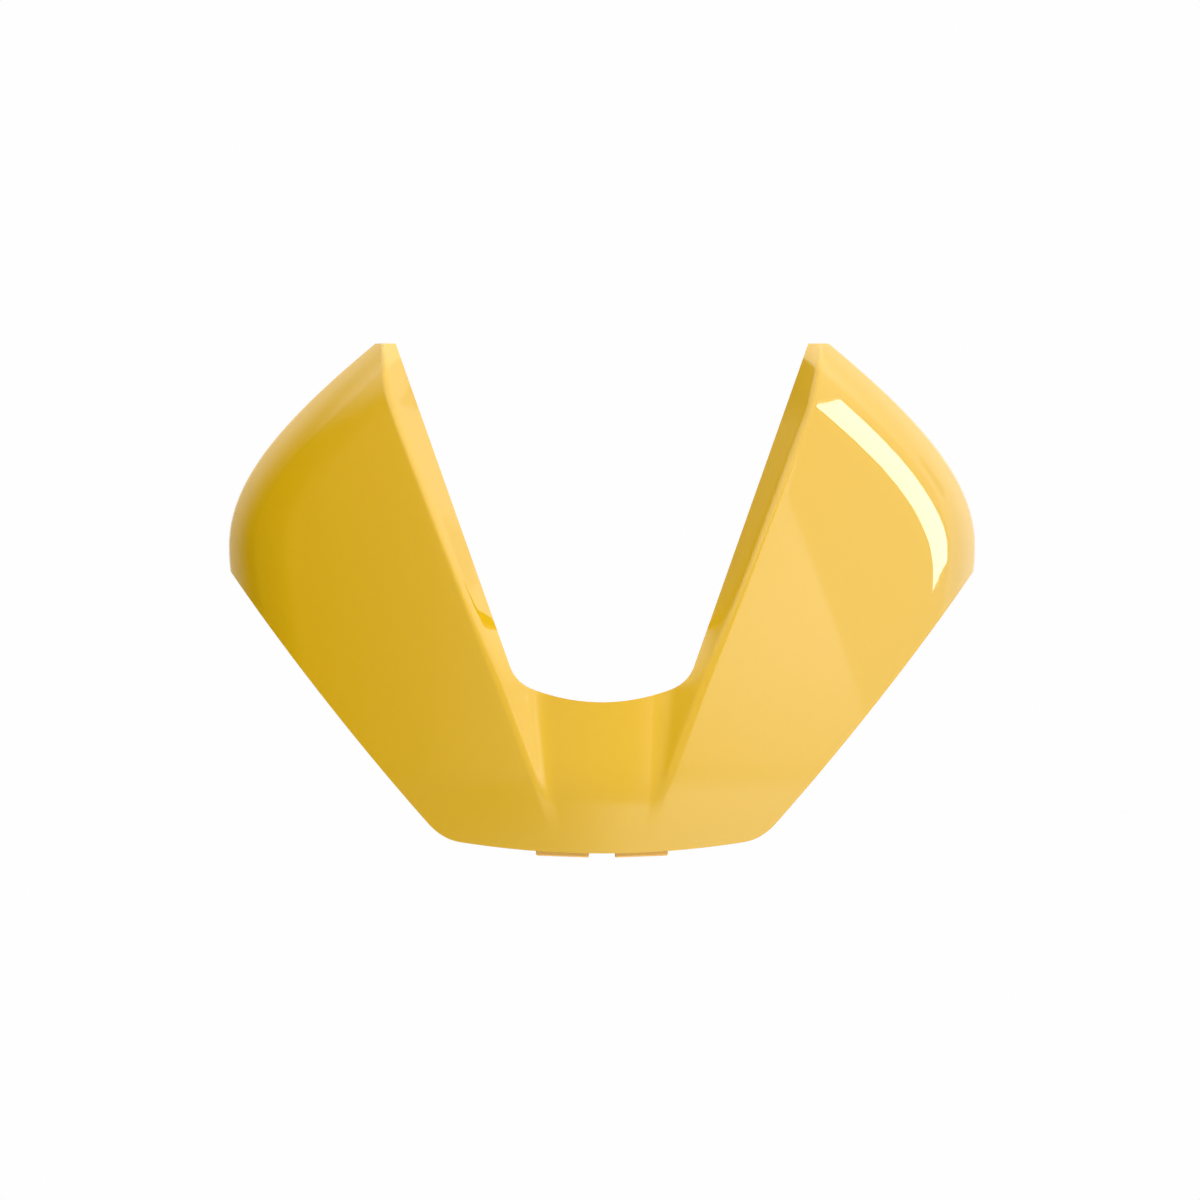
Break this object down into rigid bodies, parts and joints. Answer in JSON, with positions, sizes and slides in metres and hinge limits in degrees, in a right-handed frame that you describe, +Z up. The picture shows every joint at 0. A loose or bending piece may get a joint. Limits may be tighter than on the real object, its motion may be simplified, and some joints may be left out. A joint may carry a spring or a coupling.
{
  "type": "clip-on v-shaped cover",
  "caption": "Glossy V-shaped clip-on cover with swept wings on an inner frame, with sprung catches at its lower edge that grip a panel's lip.",
  "frame": {"origin": "centre of the lower seat, the rear face of the lower rubber pad", "axes": "+X towards the right wing as seen from the front, +Y to the back where the host panel is, +Z up towards the wing tips"},
  "size_m": [0.1502, 0.0437, 0.1031],
  "materials": {
    "gloss_yellow": "high gloss moulded yellow",
    "satin_black": "satin moulded dark grey",
    "satin_grey": "satin moulded dark grey",
    "pale_yellow": "satin pale orange yellow",
    "spring_steel": "drawn wire",
    "zinc_steel": "bright zinc plated",
    "pad_rubber": "fine matt texture"
  },
  "bodies": {
    "body": {"cover": "gloss_yellow", "carrier": "satin_black", "catch_keeper": "satin_grey", "carrier_screw_1": "zinc_steel", "carrier_screw_2": "zinc_steel", "carrier_screw_3": "zinc_steel", "carrier_screw_4": "zinc_steel", "carrier_screw_5": "zinc_steel", "carrier_screw_6": "zinc_steel", "keeper_screw_1": "zinc_steel", "keeper_screw_2": "zinc_steel", "keeper_screw_3": "zinc_steel", "keeper_screw_4": "zinc_steel", "lower_pad": "pad_rubber", "left_wing_pad": "pad_rubber", "right_wing_pad": "pad_rubber", "left_catch_spring": "spring_steel", "right_catch_spring": "spring_steel"},
    "left_catch": {"left_catch": "pale_yellow"},
    "right_catch": {"right_catch": "pale_yellow"}
  },
  "joints": [
    {"name": "left_catch_slide", "type": "slide", "parent": "body", "child": "left_catch", "axis": [0, 0, 1], "range_m": [0, 0.0028], "stiffness_N_per_m": 400, "springref_m": -0.004, "deforming": ["left_catch_spring"]},
    {"name": "right_catch_slide", "type": "slide", "parent": "body", "child": "right_catch", "axis": [0, 0, 1], "range_m": [0, 0.0028], "stiffness_N_per_m": 400, "springref_m": -0.004, "deforming": ["right_catch_spring"]}
  ]
}
